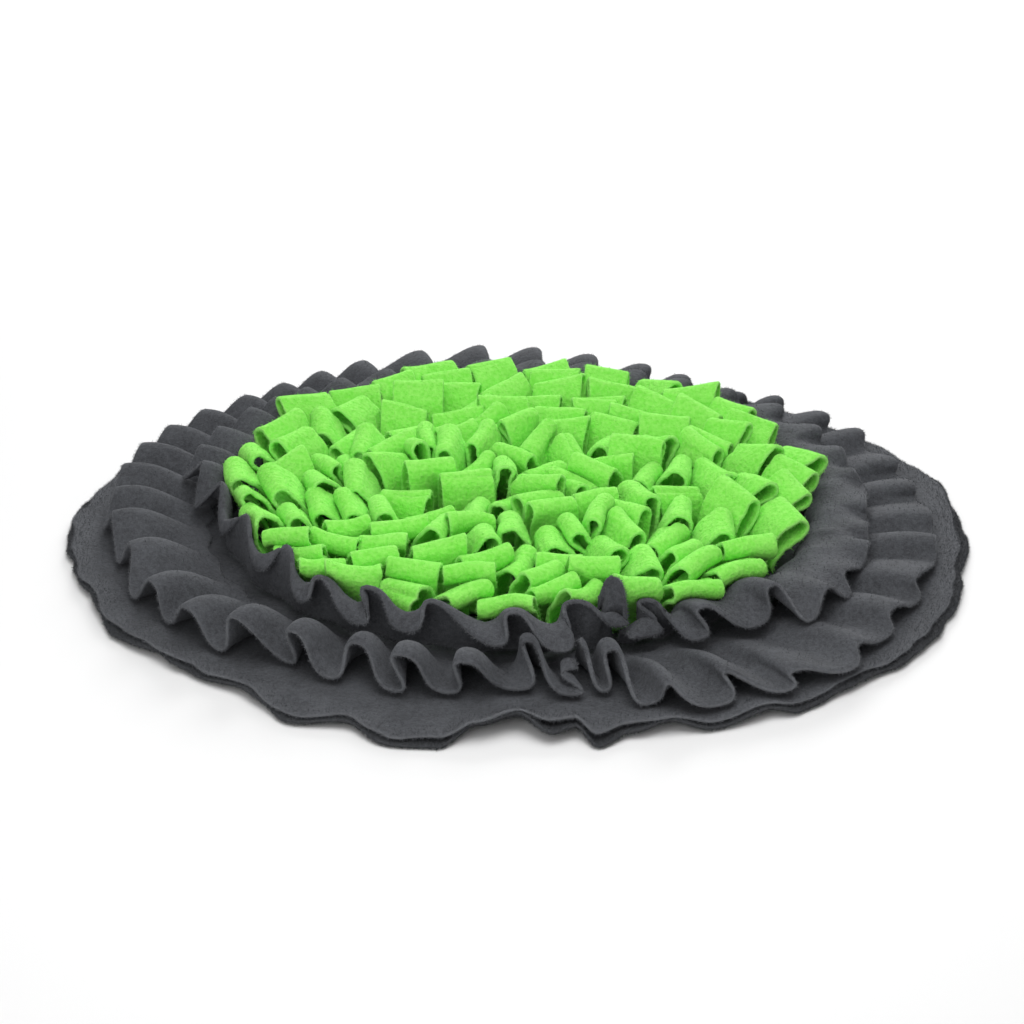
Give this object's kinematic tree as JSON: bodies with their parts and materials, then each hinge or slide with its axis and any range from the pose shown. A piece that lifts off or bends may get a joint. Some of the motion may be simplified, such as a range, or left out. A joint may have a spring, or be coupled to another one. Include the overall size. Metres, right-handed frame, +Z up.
{
  "type": "snuffle mat",
  "caption": "Round fleece snuffle mat: layered base sheets with wavy edges, two gathered ruffles and a dense middle pile of folded loops for hiding treats.",
  "frame": {"origin": "on the floor under the middle of the round mat, in the flat underside of the lower base sheet", "axes": "+Z up, +X to the right of the front, +Y away from the front, where both strips' cut ends meet"},
  "size_m": [0.4463, 0.4306, 0.0431],
  "materials": {
    "charcoal_fleece": "brushed anti-pill fleece",
    "green_fleece": "brushed anti-pill fleece"
  },
  "bodies": {
    "root": {"base_lower": "charcoal_fleece", "base_upper": "charcoal_fleece", "lower_ruffle": "charcoal_fleece", "upper_ruffle": "charcoal_fleece", "loop_pile": "green_fleece"}
  },
  "joints": []
}
